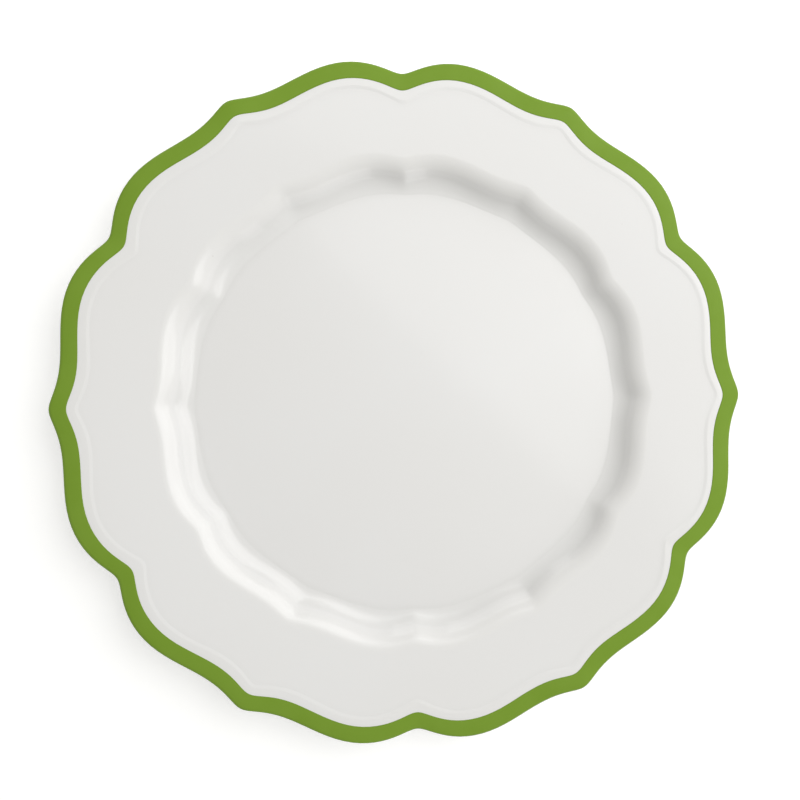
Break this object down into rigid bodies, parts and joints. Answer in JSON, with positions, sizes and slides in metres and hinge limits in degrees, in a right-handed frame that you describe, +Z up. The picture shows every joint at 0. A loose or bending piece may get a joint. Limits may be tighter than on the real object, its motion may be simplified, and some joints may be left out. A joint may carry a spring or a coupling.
{
  "type": "dinner plate",
  "caption": "Round china dinner plate with a scalloped ogee edge, fluted well, broad sloping rim, raised line and a coloured edge band.",
  "frame": {"origin": "centre of the circle that the foot ring stands on, at table level", "axes": "+Z up out of the well, +X through one outward point of the scalloped edge, +Y through an inward notch"},
  "size_m": [0.276, 0.2732, 0.02],
  "materials": {
    "biscuit": "matt fired porcelain under the glaze",
    "foot_biscuit": "bare porcelain, ground smooth",
    "face_glaze": "soft gloss white glaze",
    "back_glaze": "soft gloss white glaze",
    "green_enamel": "gloss green overglaze enamel"
  },
  "bodies": {
    "root": {"porcelain_body": "biscuit", "foot_ring": "foot_biscuit", "face_glaze": "face_glaze", "back_glaze": "back_glaze", "recess_glaze": "back_glaze", "rim_band": "green_enamel"}
  },
  "joints": []
}
